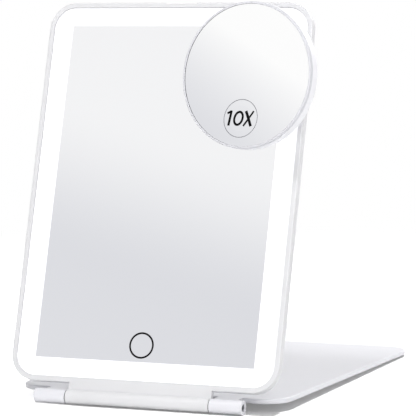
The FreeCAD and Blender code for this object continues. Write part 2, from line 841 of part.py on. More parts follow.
def make_end_screw(name, side):
    """Socket screw that closes one end of the hinge barrel."""
    body = new_body(name)
    seat = "shaft_end" if side > 0 else "-shaft_end"
    face = "shaft_end + end_screw_length"
    base = new_sketch(body, "YZ_Plane", seat)
    draw_circle(base, None, None, "end_screw_radius")
    pad(body, base, "end_screw_length", reverse=side < 0)
    socket = new_sketch(body, "YZ_Plane", face if side > 0 else f"-({face})")
    draw_hexagon(socket, "hex_flats")
    pocket(body, socket, "hex_depth", along_normal=side < 0)
    return body


# Base pieces

def make_base_plate():
    """Cover plate with two arms that end in the outer hinge knuckles."""
    body = new_body("base_plate")
    outline = new_sketch(body, "XY_Plane", "plate_under")
    draw_rounded(outline, "-panel_half", "panel_half", "plate_setback", "plate_end", "corner_radius")
    pad(body, outline, "plate_thick")
    round_edges(body, rim_names(body.Shape, value("plate_top")), "plate_edge_round")
    round_edges(body, rim_names(body.Shape, value("plate_under")), "plate_edge_round")
    sides = (
        ("-barrel_half", "arm_inset - barrel_half", "-knuckle_inner"),
        ("knuckle_inner", "knuckle_inner", "barrel_half - arm_inset"),
    )
    for start, left, right in sides:
        arm = new_sketch(body, "XY_Plane", "plate_under")
        draw_box(arm, left, right, "-barrel_radius / 4", "plate_setback + 2 * plate_edge_round")
        pad(body, arm, "plate_thick")
        knuckle = new_sketch(body, "YZ_Plane", start)
        draw_circle(knuckle, None, None, "barrel_radius")
        pad(body, knuckle, "knuckle_length")
    for face in ("-barrel_half", "barrel_half"):
        round_edges(body, rim_names(body.Shape, value(face), "X"), "knuckle_round")
    shaft_hole = new_sketch(body, "YZ_Plane")
    draw_circle(shaft_hole, None, None, "shaft_radius + shaft_seat")
    pocket(body, shaft_hole, "2 * barrel_length", symmetric=True)
    for face, inward in (("-barrel_half", True), ("barrel_half", False)):
        seat = new_sketch(body, "YZ_Plane", face)
        draw_circle(seat, None, None, "end_screw_radius + end_screw_fit")
        pocket(body, seat, "end_screw_length + end_screw_recess", along_normal=inward)
    return body


def make_foot(name, side, plate):
    """Soft foot under one rear corner: level below, and following the plate above."""
    blank = new_body(f"{name}_blank")
    outline = new_sketch(blank, "XY_Plane")
    middle = f"{side} * foot_x"
    draw_rounded(
        outline, f"{middle} - foot_length / 2", f"{middle} + foot_length / 2",
        "-foot_width / 2", "foot_width / 2", "foot_width / 2.2",
    )
    pad(blank, outline, "foot_height + plate_thick / 2")
    blank.Placement = FreeCAD.Placement(
        FreeCAD.Vector(value("middle_x"), value("middle_y + foot_reach"), 0), FreeCAD.Rotation())
    foot = doc.addObject("Part::Cut", name)
    foot.Base = blank
    foot.Tool = plate
    doc.recompute()
    return foot


# Magnifier pieces

def make_magnifier_housing():
    """Shallow round cup with a lug for the tilt pin on its back."""
    body = new_body("magnifier_housing")
    cup = new_sketch(body, "XY_Plane", "lug_reach")
    draw_circle(cup, None, None, "magnifier_radius")
    pad(body, cup, "housing_front - lug_reach")
    hollow = new_sketch(body, "XY_Plane", "housing_front")
    draw_circle(hollow, None, None, "magnifier_radius - magnifier_wall")
    pocket(body, hollow, "housing_front - lug_reach - magnifier_wall")
    round_edges(body, rim_names(body.Shape, value("lug_reach")), "magnifier_round")
    eye = new_sketch(body, "YZ_Plane")
    draw_circle(eye, None, None, "lug_radius")
    pad(body, eye, "lug_width", symmetric=True)
    stem = new_sketch(body, "YZ_Plane")
    draw_box(stem, "-lug_radius", "lug_radius", "pin_radius / 4", "lug_reach + magnifier_wall / 2")
    pad(body, stem, "lug_width", symmetric=True)
    pin_hole = new_sketch(body, "YZ_Plane")
    draw_circle(pin_hole, None, None, "pin_radius + pin_fit")
    pocket(body, pin_hole, "2 * lug_width", symmetric=True)
    return body


def make_magnifier_rim():
    """Front ring that keeps the magnifying mirror in its cup."""
    body = new_body("magnifier_rim")
    ring = new_sketch(body, "XY_Plane", "housing_front")
    draw_circle(ring, None, None, "magnifier_radius")
    draw_circle(ring, None, None, "mirror_radius + mirror_fit")
    pad(body, ring, "rim_depth")
    round_edges(body, rim_names(body.Shape, value("magnifier_front")), "rim_round")
    return body


def make_magnifier_mirror():
    """Bowl-shaped magnifying glass: two concentric spheres cut to a round edge."""
    mirror = doc.addObject("Part::Feature", "magnifier_mirror")
    centre = FreeCAD.Vector(0, 0, value("mirror_centre"))
    curve = value("mirror_curve")
    thick = value("mirror_glass")
    radius = value("mirror_radius")
    bowl = Part.makeSphere(curve + thick, centre).cut(Part.makeSphere(curve, centre))
    reach = value("mirror_sag") + 2 * thick
    below = FreeCAD.Vector(0, 0, value("mirror_edge") - reach)
    mirror.Shape = bowl.common(Part.makeCylinder(radius, reach, below)).Solids[0]
    return mirror


def make_mirror_cushion():
    """Foam disc between the bowl and the cup's floor, hollowed to the bowl."""
    blank = disc("mirror_cushion_blank", None, None, "cushion_radius", "cushion_back", "mirror_edge")
    bowl = doc.addObject("Part::Sphere", "mirror_cushion_hollow")
    bowl.setExpression("Radius", formula("mirror_curve + mirror_glass"))
    bowl.setExpression("Placement.Base.z", formula("mirror_centre"))
    cushion = doc.addObject("Part::Cut", "mirror_cushion")
    cushion.Base = blank
    cushion.Tool = bowl
    doc.recompute()
    return cushion


def make_puck_body():
    """Round puck with two ears for the tilt pin and a pocket for its magnet."""
    body = new_body("puck_body")
    base = new_sketch(body, "XY_Plane", "pad_thick")
    draw_circle(base, None, None, "puck_radius")
    pad(body, base, "puck_height")
    round_edges(body, rim_names(body.Shape, value("puck_top")), "puck_round")
    inner = "lug_width / 2 + lug_gap"
    for start in (inner, f"-({inner}) - ear_thick"):
        stem = new_sketch(body, "YZ_Plane", start)
        draw_box(stem, "-ear_radius", "ear_radius", "puck_top - puck_round", "pin_height")
        pad(body, stem, "ear_thick")
        eye = new_sketch(body, "YZ_Plane", start)
        draw_circle(eye, "0", "pin_height", "ear_radius")
        pad(body, eye, "ear_thick")
    pin_hole = new_sketch(body, "YZ_Plane")
    draw_circle(pin_hole, "0", "pin_height", "pin_radius + pin_seat")
    pocket(body, pin_hole, "2 * puck_radius", symmetric=True)
    nest = new_sketch(body, "XY_Plane", "pad_thick")
    draw_circle(nest, None, None, "magnet_radius + magnet_fit")
    pocket(body, nest, "magnet_thick + magnet_fit", along_normal=True)
    return body


# Where each group of pieces stands

def panel_place():
    """Panel frame, leaning back about the hinge axis."""
    hinge = FreeCAD.Vector(value("middle_x"), value("middle_y"), value("barrel_radius"))
    return FreeCAD.Placement(hinge, FreeCAD.Rotation(X_AXIS, 90 - value("lean_angle")))


def base_place():
    """Base frame, sloping down to the rear feet."""
    hinge = FreeCAD.Vector(value("middle_x"), value("middle_y"), value("barrel_radius"))
    return FreeCAD.Placement(hinge, FreeCAD.Rotation(X_AXIS, -value("plate_slope")))


def puck_place():
    """Puck frame on the glass, turned about the panel's normal."""
    seat = FreeCAD.Vector(value("puck_x"), value("puck_y"), value("pad_ease - bezel_lip"))
    turned = FreeCAD.Placement(seat, FreeCAD.Rotation(Z_AXIS, value("magnifier_turn")))
    return panel_place().multiply(turned)


def magnifier_place():
    """Magnifier frame at the tilt pin."""
    pin = FreeCAD.Vector(0, 0, value("pin_height"))
    tilted = FreeCAD.Placement(pin, FreeCAD.Rotation(X_AXIS, value("magnifier_tilt")))
    return puck_place().multiply(tilted)


def build():
    """Make every piece, put it in its place and return them all."""
    panel = [
        make_front_bezel(),
        make_light_diffuser(),
        make_mirror_pane(),
        make_touch_ring(),
        make_light_tray(),
        make_rear_cover(),
        make_cover_screws(),
        make_led_board(),
        make_leds(),
        make_led_ribbon(),
        make_control_board(),
        make_board_parts(),
        make_usb_socket(),
        make_battery(),
        make_battery_leads(),
        disc("touch_sensor", "-ring_aside", "ring_y", "sensor_radius", "-cavity_front", "-pane_back"),
        disc(
            "magnet_target", "puck_x", "puck_y", "target_radius",
            "-cavity_front - target_thick", "-cavity_front",
        ),
        rod(
            "charge_light_pipe", "pipe_radius", "-port_mouth", "-board_left",
            "port_y - pipe_offset", "-bezel_depth",
        ),
    ]
    base = [make_base_plate()]
    for side, word in ((-1, "left"), (1, "right")):
        panel.append(side_rod(
            f"friction_sleeve_{word}", side, "sleeve_outer_radius",
            "shaft_start", "centre_knuckle / 2", "sleeve_inner_radius"))
        base.append(side_rod(f"hinge_shaft_{word}", side, "shaft_radius", "shaft_start", "shaft_end"))
        base.append(side_rod(
            f"hinge_washer_{word}", side, "barrel_radius - washer_rim",
            "centre_knuckle / 2 + washer_ease", "knuckle_inner", "shaft_radius + shaft_fit"))
        base.append(make_end_screw(f"hinge_end_screw_{word}", side))
    puck = [
        make_puck_body(),
        disc("puck_pad", None, None, "puck_radius - pad_margin", "0", "pad_thick"),
        disc("puck_magnet", None, None, "magnet_radius", "pad_thick", "pad_thick + magnet_thick"),
        rod(
            "tilt_pin", "pin_radius", "-lug_width / 2 - lug_gap - ear_thick",
            "lug_width / 2 + lug_gap + ear_thick", "0", "pin_height",
        ),
    ]
    magnifier = [
        make_magnifier_housing(),
        make_magnifier_rim(),
        make_magnifier_mirror(),
        make_mirror_cushion(),
    ]
    groups = (
        (panel, panel_place()), (base, base_place()),
        (puck, puck_place()), (magnifier, magnifier_place()),
    )
    for pieces, place in groups:
        for piece in pieces:
            piece.Placement = place
    doc.recompute()
    feet = [
        make_foot(f"rear_foot_{word}", side, base[0]) for side, word in ((-1, "left"), (1, "right"))
    ]
    return panel + base + puck + magnifier + feet


def check(pieces):
    """Stop unless every object of the document is sound."""
    for item in doc.Objects:
        if "Invalid" in item.State or "Error" in item.State:
            raise RuntimeError(f"{item.Name} failed: {item.State}")
    for piece in pieces:
        if piece.Shape.isNull() or not piece.Shape.isValid() or not piece.Shape.Solids:
            raise RuntimeError(f"{piece.Label} has no sound solid")


def export(pieces):
    """Write each piece to its own file."""
    os.makedirs("parts", exist_ok=True)
    for piece in pieces:
        piece.Shape.exportStep(f"parts/{piece.Label}.step")


finished = build()
check(finished)
export(finished)
print(f"{len(finished)} pieces, plate slope {value('plate_slope'):.3f} degrees")
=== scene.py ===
"""Looks of a folding travel makeup mirror: a lit panel on its cover plate, with a round magnifier."""

import json
import logging
import math
from dataclasses import dataclass, field
from enum import Enum
from typing import Any, Iterable, Protocol, Sequence

import bpy
from mathutils import Matrix, Vector


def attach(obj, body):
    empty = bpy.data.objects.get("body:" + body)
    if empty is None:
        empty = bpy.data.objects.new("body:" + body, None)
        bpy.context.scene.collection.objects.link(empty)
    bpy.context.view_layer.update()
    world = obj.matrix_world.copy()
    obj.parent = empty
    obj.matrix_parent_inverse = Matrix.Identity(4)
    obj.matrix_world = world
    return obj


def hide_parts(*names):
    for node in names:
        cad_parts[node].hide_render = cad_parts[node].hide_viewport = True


log = logging.getLogger("mirror")
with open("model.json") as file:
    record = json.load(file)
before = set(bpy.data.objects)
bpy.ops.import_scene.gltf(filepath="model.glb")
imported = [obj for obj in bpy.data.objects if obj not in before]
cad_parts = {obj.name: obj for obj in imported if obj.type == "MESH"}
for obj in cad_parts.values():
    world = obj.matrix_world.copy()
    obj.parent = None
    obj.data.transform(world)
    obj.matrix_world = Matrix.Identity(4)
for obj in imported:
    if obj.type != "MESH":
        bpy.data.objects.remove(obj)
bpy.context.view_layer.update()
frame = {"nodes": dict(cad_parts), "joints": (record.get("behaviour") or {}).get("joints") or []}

MM = 0.001
# Most of a noise texture's values lie between these two.
NOISE_LOW, NOISE_HIGH = 0.3, 0.7
# Steps in which a rounded edge turns by a quarter.
EDGE_STEPS = 6


def linear(code: str) -> tuple[float, float, float, float]:
    """Turn an sRGB hex colour into linear light.

    Args:
        code: Six hex digits, with or without a leading hash.

    Returns:
        Red, green, blue and full opacity.
    """
    code = code.lstrip("#")
    channels = []
    for start in (0, 2, 4):
        share = int(code[start:start + 2], 16) / 255
        channels.append(share / 12.92 if share <= 0.04045 else ((share + 0.055) / 1.055) ** 2.4)
    return (*channels, 1.0)


def add_node(tree: bpy.types.NodeTree, kind: str, inputs: dict[Any, Any] | None = None,
             **settings: Any) -> bpy.types.Node:
    """Add one node with its settings and links.

    Args:
        tree: Node tree that takes the node.
        kind: Blender's name for the node's type.
        inputs: Values, or sockets to link, by the input's name or number.
        settings: The node's own properties.

    Returns:
        The new node.
    """
    node = tree.nodes.new(kind)
    for name, value in settings.items():
        setattr(node, name, value)
    for name, value in (inputs or {}).items():
        if isinstance(value, bpy.types.NodeSocket):
            tree.links.new(value, node.inputs[name])
        else:
            node.inputs[name].default_value = value
    return node


def per_mm(spacing: float) -> float:
    """Texture scale, in repeats per metre, of a pattern with a spacing in millimetres."""
    return 1 / (spacing * MM)


def empty_material(name: str) -> tuple[bpy.types.Material, bpy.types.NodeTree]:
    """Start a material with no nodes in it.

    Args:
        name: What the real material is.

    Returns:
        The material and its node tree.
    """
    material = bpy.data.materials.new(name)
    material.use_nodes = True
    material.node_tree.nodes.clear()
    return material, material.node_tree


def shade_range(tree: bpy.types.NodeTree, factor: bpy.types.NodeSocket, dark: str,
                light: str) -> bpy.types.NodeSocket:
    """Colour that drifts between two shades.

    Args:
        tree: Node tree of the material.
        factor: Socket that runs from 0 to 1.
        dark: Hex colour at 0.
        light: Hex colour at 1.

    Returns:
        The colour socket.
    """
    ramp = add_node(tree, "ShaderNodeMix", {0: factor}, data_type="RGBA")
    ramp.inputs["A"].default_value = linear(dark)
    ramp.inputs["B"].default_value = linear(light)
    return ramp.outputs["Result"]


class Finish(Protocol):
    """What a piece can be dressed in."""

    @property
    def name(self) -> str:
        """Common name of the material."""

    def material(self) -> bpy.types.Material:
        """Build the material."""


class Surface(Enum):
    """How a plastic's mould was finished, as the size of its grain in millimetres.

    Real mould grain is finer than a pixel, so it is drawn several times coarser.
    """

    POLISHED = 2.4
    SATIN = 0.5
    MATT = 0.8


@dataclass(frozen=True)
class MouldedPlastic:
    """Injection-moulded plastic: an even colour, with the mould's grain in the shine.

    Attributes:
        name: Common name of the plastic.
        dark: Hex colour of the darker drifts.
        light: Hex colour of the paler drifts.
        surface: Finish of the mould.
        roughness: Middle roughness.
        grain_depth: Depth of the grain in millimetres.
        gloss: Strength of the surface's own reflection; 0.5 is bare plastic.
        flow: Spacing of the melt's slow colour drift in millimetres.
        swing: How far the roughness swings either way with the grain.
    """

    name: str
    dark: str
    light: str
    surface: Surface = Surface.SATIN
    roughness: float = 0.38
    grain_depth: float = 0.004
    gloss: float = 0.5
    flow: float = 60.0
    swing: float = 0.05

    def material(self) -> bpy.types.Material:
        """Build the material.

        Returns:
            Plastic with slow colour drift from the flow of the melt and a fine grain in its gloss.
        """
        made, tree = empty_material(self.name)
        place = add_node(tree, "ShaderNodeTexCoord").outputs["Object"]
        drift = add_node(tree, "ShaderNodeTexNoise", {
            "Vector": place, "Scale": per_mm(self.flow), "Detail": 2.0, "Roughness": 0.5}).outputs["Fac"]
        grain = add_node(tree, "ShaderNodeTexNoise", {
            "Vector": place, "Scale": per_mm(self.surface.value), "Detail": 3.0,
            "Roughness": 0.55}).outputs["Fac"]
        haze = add_node(tree, "ShaderNodeMapRange", {
            "Value": grain, "From Min": NOISE_LOW, "From Max": NOISE_HIGH,
            "To Min": self.roughness - self.swing, "To Max": self.roughness + self.swing})
        bump = add_node(tree, "ShaderNodeBump", {
            "Height": grain, "Distance": self.grain_depth * MM, "Strength": 0.6})
        shader = add_node(tree, "ShaderNodeBsdfPrincipled", {
            "Base Color": shade_range(tree, drift, self.dark, self.light),
            "Roughness": haze.outputs["Result"], "IOR": 1.5, "Specular IOR Level": self.gloss,
            "Normal": bump.outputs["Normal"]})
        add_node(tree, "ShaderNodeOutputMaterial", {"Surface": shader.outputs["BSDF"]})
        return made


@dataclass(frozen=True)
class LitAcrylic:
    """Opal acrylic sheet with lights behind it: an even glow that stops short of the frame, with painted
    shade along its edge.

    Attributes:
        name: Common name of the plastic.
        colour: Hex colour of the sheet.
        glow: Hex colour of the light that comes through.
        strength: Brightness of the glow.
        swing: Share by which the glow swings either way from light to light.
        haze: Least and greatest roughness of the sheet.
        light_pitch: Distance between lights in millimetres.
        middle: Middle of the frame's opening, in millimetres in the part's frame.
        lean: Angle that the opening leans back, in degrees.
        half: Half the opening's width and height in millimetres.
        corner: Corner radius of the opening in millimetres.
        edge: Width of the painted shade along the frame in millimetres.
        painted_shade_blur: Width over which the painted shade fades in, in millimetres.
        painted_shade_colour: Hex colour of the painted shade along the frame's edge.
        depth: Distance in front of and behind the sheet at which the opening still counts.
    """

    name: str = "opal_acrylic_lit"
    colour: str = "B4B4B8"
    glow: str = "FFFFFF"
    strength: float = 0.7
    swing: float = 0.04
    haze: tuple[float, float] = (0.22, 0.34)
    light_pitch: float = 9.0
    middle: tuple[float, float, float] = (-6.955, -88.317, 122.653)
    lean: float = 16.6
    half: tuple[float, float] = (81.5, 112.0)
    corner: float = 13.0
    edge: float = 0.28
    painted_shade_blur: float = 0.1
    painted_shade_colour: str = "A8A8AC"
    depth: float = 1000.0

    def material(self) -> bpy.types.Material:
        """Build the material.

        Returns:
            Glowing sheet with the faint cloudiness of opal acrylic, and painted shade along the frame: its
            border is dimmed and darkened for the frame's shaded inner wall.
        """
        made, tree = empty_material(self.name)
        place = add_node(tree, "ShaderNodeTexCoord").outputs["Object"]
        cloud = add_node(tree, "ShaderNodeTexNoise", {
            "Vector": place, "Scale": per_mm(self.light_pitch), "Detail": 2.0}).outputs["Fac"]
        spot = add_node(tree, "ShaderNodeMapping", {
            "Vector": place, "Location": Vector(self.middle) * MM,
            "Rotation": (-math.radians(self.lean), 0.0, 0.0)}, vector_type="TEXTURE").outputs["Vector"]
        spot = add_node(tree, "ShaderNodeVectorMath", {0: spot}, operation="ABSOLUTE").outputs["Vector"]
        straight = Vector((self.half[0] - self.corner, self.depth, self.half[1] - self.corner)) * MM
        spot = add_node(tree, "ShaderNodeVectorMath", {0: spot, 1: straight}, operation="SUBTRACT")
        spot = add_node(tree, "ShaderNodeVectorMath", {0: spot.outputs["Vector"]}, operation="MAXIMUM")
        reach = add_node(tree, "ShaderNodeVectorMath", {0: spot.outputs["Vector"]}, operation="LENGTH")
        # Painted shade: within edge millimetres of the frame the glow fades out and the sheet takes the
        # painted shade colour, standing in for the frame's shaded inner wall.
        glowing = self.corner - self.edge
        clear = add_node(tree, "ShaderNodeMapRange", {
            "Value": reach.outputs["Value"], "From Min": glowing * MM,
            "From Max": (glowing + self.painted_shade_blur) * MM, "To Min": 1.0, "To Max": 0.0}).outputs["Result"]
        level = add_node(tree, "ShaderNodeMapRange", {
            "Value": cloud, "From Min": NOISE_LOW, "From Max": NOISE_HIGH,
            "To Min": self.strength * (1 - self.swing),
            "To Max": self.strength * (1 + self.swing)}).outputs["Result"]
        level = add_node(tree, "ShaderNodeMath", {0: level, 1: clear}, operation="MULTIPLY").outputs[0]
        gloss = add_node(tree, "ShaderNodeMapRange", {
            "Value": cloud, "To Min": self.haze[0], "To Max": self.haze[1]})
        shader = add_node(tree, "ShaderNodeBsdfPrincipled", {
            "Base Color": shade_range(tree, clear, self.painted_shade_colour, self.colour),
            "Roughness": gloss.outputs["Result"], "IOR": 1.49, "Emission Color": linear(self.glow),
            "Emission Strength": level})
        add_node(tree, "ShaderNodeOutputMaterial", {"Surface": shader.outputs["BSDF"]})
        return made


@dataclass(frozen=True)
class SilveredGlass:
    """Float glass silvered on its back: a clear reflection, faintly cool, with hardly any haze.

    Attributes:
        name: Common name of the material.
        tint: Hex colour of the reflection.
        edge_tint: Hex colour of the slow drift in the silvering.
        haze: Least and greatest roughness of the reflection.
        drift: Spacing of the slow drift in millimetres.
    """

    name: str = "silvered_float_glass"
    tint: str = "FDFDFD"
    edge_tint: str = "FCFCFC"
    haze: tuple[float, float] = (0.01, 0.03)
    drift: float = 90.0

    def material(self) -> bpy.types.Material:
        """Build the material.

        Returns:
            Mirror with the slight drift of a chemical silvering.
        """
        made, tree = empty_material(self.name)
        place = add_node(tree, "ShaderNodeTexCoord").outputs["Object"]
        drift = add_node(tree, "ShaderNodeTexNoise", {
            "Vector": place, "Scale": per_mm(self.drift), "Detail": 1.0}).outputs["Fac"]
        gloss = add_node(tree, "ShaderNodeMapRange", {
            "Value": drift, "To Min": self.haze[0], "To Max": self.haze[1]})
        shader = add_node(tree, "ShaderNodeBsdfPrincipled", {
            "Base Color": shade_range(tree, drift, self.edge_tint, self.tint), "Metallic": 1.0,
            "Roughness": gloss.outputs["Result"]})
        add_node(tree, "ShaderNodeOutputMaterial", {"Surface": shader.outputs["BSDF"]})
        return made


@dataclass(frozen=True)
class DrawnSteel:
    """Drawn or turned steel, plain or nickel-plated: grey metal with fine tool lines along one way.

    Attributes:
        name: Common name of the metal.
        dark: Hex colour in the lines.
        light: Hex colour between the lines.
        roughness: Middle roughness.
        line_spacing: Spacing of the tool lines in millimetres, drawn coarser than real ones.
        along: Stretch of the lines along each axis.
        line_depth: Depth of the tool lines in millimetres.
        swing: How far the roughness swings either way with the lines.
    """

    name: str
    dark: str = "8C8E92"
    light: str = "C4C6CA"
    roughness: float = 0.3
    line_spacing: float = 0.35
    along: tuple[float, float, float] = (0.08, 1.0, 1.0)
    line_depth: float = 0.004
    swing: float = 0.08

    def material(self) -> bpy.types.Material:
        """Build the material.

        Returns:
            Metal whose tool lines show in its colour and gloss.
        """
        made, tree = empty_material(self.name)
        place = add_node(tree, "ShaderNodeTexCoord").outputs["Object"]
        drawn = add_node(tree, "ShaderNodeMapping", {"Vector": place, "Scale": self.along})
        lines = add_node(tree, "ShaderNodeTexNoise", {
            "Vector": drawn.outputs["Vector"], "Scale": per_mm(self.line_spacing),
            "Detail": 4.0}).outputs["Fac"]
        gloss = add_node(tree, "ShaderNodeMapRange", {
            "Value": lines, "To Min": self.roughness - self.swing,
            "To Max": self.roughness + self.swing})
        bump = add_node(tree, "ShaderNodeBump", {
            "Height": lines, "Distance": self.line_depth * MM, "Strength": 0.5})
        shader = add_node(tree, "ShaderNodeBsdfPrincipled", {
            "Base Color": shade_range(tree, lines, self.dark, self.light), "Metallic": 1.0,
            "Roughness": gloss.outputs["Result"], "Normal": bump.outputs["Normal"]})
        add_node(tree, "ShaderNodeOutputMaterial", {"Surface": shader.outputs["BSDF"]})
        return made


@dataclass(frozen=True)
class CellularRubber:
    """Rubber or foam: a dull skin with fine pores.

    Attributes:
        name: Common name of the rubber.
        dark: Hex colour in the pores.
        light: Hex colour of the skin.
        pore: Pore size in millimetres.
        pore_depth: Pore depth in millimetres.
        roughness: Roughness of the skin.
        swing: How far the roughness falls in the pores and rises between them.
    """

    name: str
    dark: str
    light: str
    pore: float = 0.4
    pore_depth: float = 0.03
    roughness: float = 0.8
    swing: tuple[float, float] = (0.08, 0.06)

    def material(self) -> bpy.types.Material:
        """Build the material.

        Returns:
            Dull skin with pores in its colour and relief.
        """
        made, tree = empty_material(self.name)
        place = add_node(tree, "ShaderNodeTexCoord").outputs["Object"]
        pores = add_node(tree, "ShaderNodeTexVoronoi", {
            "Vector": place, "Scale": per_mm(self.pore)}).outputs["Distance"]
        bump = add_node(tree, "ShaderNodeBump", {
            "Height": pores, "Distance": self.pore_depth * MM, "Strength": 0.5})
        gloss = add_node(tree, "ShaderNodeMapRange", {
            "Value": pores, "To Min": self.roughness - self.swing[0],
            "To Max": self.roughness + self.swing[1]})
        shader = add_node(tree, "ShaderNodeBsdfPrincipled", {
            "Base Color": shade_range(tree, pores, self.dark, self.light),
            "Roughness": gloss.outputs["Result"], "IOR": 1.52, "Normal": bump.outputs["Normal"]})
        add_node(tree, "ShaderNodeOutputMaterial", {"Surface": shader.outputs["BSDF"]})
        return made


# White moulded ABS: even, faintly cool white with a soft shine on its rounded edges.
SHELL = MouldedPlastic("white_abs_moulded", "E2E2E6", "E8E8EB", Surface.SATIN, 0.36, 0.003)
# The frame's ABS is a shade greyer than the shell's: painted shade on the frame, whose front faces the
# lamps.
BEZEL_PAINTED_SHADE = MouldedPlastic("white_abs_frame_painted_shade", "DADADC", "DFDFE1", Surface.SATIN, 0.34, 0.003, 0.7)
# The plate's ABS comes from a finer mould: its broad face shows a calm satin sheen.
PLATE = MouldedPlastic("white_abs_satin", "DEDEE3", "E3E3E8", Surface.SATIN, 0.36, 0.003, 0.8)
# ABS of the ring round the magnifier, a little darker than its cup: painted shade on the ring's front face.
RIM_PAINTED_SHADE = MouldedPlastic("ring_abs_painted_shade", "D7D7DC", "DBDBE0", Surface.POLISHED, 0.65, 0.001, 0.06)
# The cup's ABS is the whitest: painted light that keeps the cup's side wall bright.
CUP_PAINTED_LIGHT = MouldedPlastic("white_abs_cup_painted_light", "F0F0F4", "F4F4F8", Surface.SATIN, 0.36, 0.003)
# White filled polycarbonate: dull and very white, so that it throws the light forward.
TRAY = MouldedPlastic("white_polycarbonate_filled", "ECECEC", "F4F4F4", Surface.MATT, 0.6, 0.01)
# Clear acrylic rod with a frosted end.
PIPE = MouldedPlastic("clear_acrylic_frosted", "DDE4E8", "EEF3F5", Surface.MATT, 0.5, 0.01)
# Black acetal: turned, slippery, with a low sheen; it makes the dark seams of the hinge barrel.
WASHER = MouldedPlastic("black_acetal_turned", "242428", "303034", Surface.SATIN, 0.5, 0.004)
# Screen-printed black enamel ink fired on the glass: deep black with a little gloss.
INK = MouldedPlastic("black_enamel_ink", "050506", "0A0A0B", Surface.SATIN, 0.6, 0.002, 0.06)
# Die-cut edge of the clear polyester label: a thin grey line.
CUT_EDGE = MouldedPlastic("polyester_cut_edge", "7C7C82", "8A8A90", Surface.SATIN, 0.8, 0.001, 0.02)
# Dark grey sheet on the ring's inner wall, dull so that it shows as a thin line: painted shade for the gap
# between the bowl and its ring.
PAINTED_RING_SHADE = MouldedPlastic("painted_shade_ring_wall", "38383C", "424246", Surface.SATIN, 0.8, 0.001, 0.04)
# Circuit boards: glass-fibre laminate under solder mask, green or white, with the weave just showing.
BOARD = MouldedPlastic("green_solder_mask", "14482A", "1C5A36", Surface.MATT, 0.42, 0.01)
STRIP = MouldedPlastic("white_solder_mask", "E0E0DC", "ECECE8", Surface.MATT, 0.46, 0.01)
# Light housings: white bodies filled with pale yellow phosphor gel.
PHOSPHOR = MouldedPlastic("phosphor_gel", "E8D789", "F4E8AE", Surface.MATT, 0.34, 0.01)
# Black epoxy packages on the board.
CHIP = MouldedPlastic("black_epoxy", "1A1A1C", "26262A", Surface.MATT, 0.55, 0.02)
# Amber polyimide film of the flat lead.
FILM = MouldedPlastic("amber_polyimide", "A8641C", "C27C2C", Surface.POLISHED, 0.3, 0.004)
# Red PVC insulation.
WIRE = MouldedPlastic("red_pvc", "96160F", "A82018", Surface.SATIN, 0.45, 0.006)
# Rolled aluminium foil of the pouch cell, with long rolling lines.
FOIL = DrawnSteel("aluminium_pouch_foil", "A8AAAE", "C8CACE", 0.36, 0.6, (1.0, 0.06, 0.06))
# Turned and nickel-plated steel of screws, shafts, sleeves, socket, pin and magnet.
STEEL = DrawnSteel("nickel_plated_steel")
# Silicone of the feet and the puck's pad: pale grey and dull, with a fine skin.
SILICONE = CellularRubber("grey_silicone", "86868A", "9A9A9E", 0.5, 0.02, 0.7)
# Polyurethane foam of the cushion and the touch sensor: dark, open pores.
FOAM = CellularRubber("dark_polyurethane_foam", "1C1C1E", "303034", 0.7, 0.2, 0.92)
# Cast opal acrylic over the lights: it spreads their points into one even glow.
OPAL = LitAcrylic()
# Float glass silvered on its back: a sharp reflection with hardly any colour.
MIRROR = SilveredGlass()


class Wardrobe:
    """Makes each finish once and puts it on pieces."""

    def __init__(self) -> None:
        """Start with nothing made."""
        self.made: dict[str, bpy.types.Material] = {}

    def dress(self, piece: bpy.types.Object, finish: Finish) -> None:
        """Give a piece one finish all over.

        Args:
            piece: CAD node or new piece.
            finish: Its finish.
        """
        if finish.name not in self.made:
            self.made[finish.name] = finish.material()
        piece.data.materials.clear()
        piece.data.materials.append(self.made[finish.name])
        log.info("%s: %s", piece.name, finish.name)


def new_piece(name: str, points: Sequence[Vector], faces: Iterable[Sequence[int]],
              smooth_below: float = 30.0) -> bpy.types.Object:
    """Make a mesh piece in the part's own frame.

    Args:
        name: Name of the piece.
        points: Corners in metres.
        faces: Corner numbers of each face.
        smooth_below: Edges that turn by less than this many degrees are shaded smooth.

    Returns:
        The new object.
    """
    mesh = bpy.data.meshes.new(name)
    mesh.from_pydata([tuple(point) for point in points], [], [tuple(face) for face in faces])
    mesh.validate()
    mesh.shade_smooth()
    mesh.set_sharp_from_angle(angle=math.radians(smooth_below))
    piece = bpy.data.objects.new(name, mesh)
    bpy.context.scene.collection.objects.link(piece)
    return piece


@dataclass
class Assembly:
    """Sub-assembly whose CAD nodes take one finish each.

    Attributes:
        wardrobe: Finishes made so far.
        finishes: Finish of each CAD node that is shown.
    """

    wardrobe: Wardrobe
    finishes: dict[str, Finish] = field(default_factory=dict)

    def dress(self) -> None:
        """Give each CAD node its finish."""
        for node, finish in self.finishes.items():
            self.wardrobe.dress(frame["nodes"][node], finish)


@dataclass
class Panel(Assembly):
    """Mirror panel: frame, lit band, mirror, rear cover and what is inside."""

    finishes: dict[str, Finish] = field(default_factory=lambda: {
        "front_bezel": BEZEL_PAINTED_SHADE, "rear_cover": SHELL, "light_diffuser": OPAL, "mirror_pane": MIRROR,
        "touch_ring": INK, "light_tray": TRAY, "cover_screws": STEEL, "led_board": STRIP,
        "leds": PHOSPHOR, "led_ribbon": FILM, "control_board": BOARD, "board_parts": CHIP,
        "usb_socket": STEEL, "battery": FOIL, "battery_leads": WIRE, "touch_sensor": FOAM,
        "magnet_target": STEEL, "charge_light_pipe": PIPE, "friction_sleeve_left": STEEL,
        "friction_sleeve_right": STEEL,
    })


@dataclass
class Base(Assembly):
    """Cover plate on the table with its hinge hardware and feet."""

    finishes: dict[str, Finish] = field(default_factory=lambda: {
        "base_plate": PLATE, "hinge_shaft_left": STEEL, "hinge_shaft_right": STEEL,
        "hinge_washer_left": WASHER, "hinge_washer_right": WASHER, "hinge_end_screw_left": STEEL,
        "hinge_end_screw_right": STEEL, "rear_foot_left": SILICONE, "rear_foot_right": SILICONE,
    })


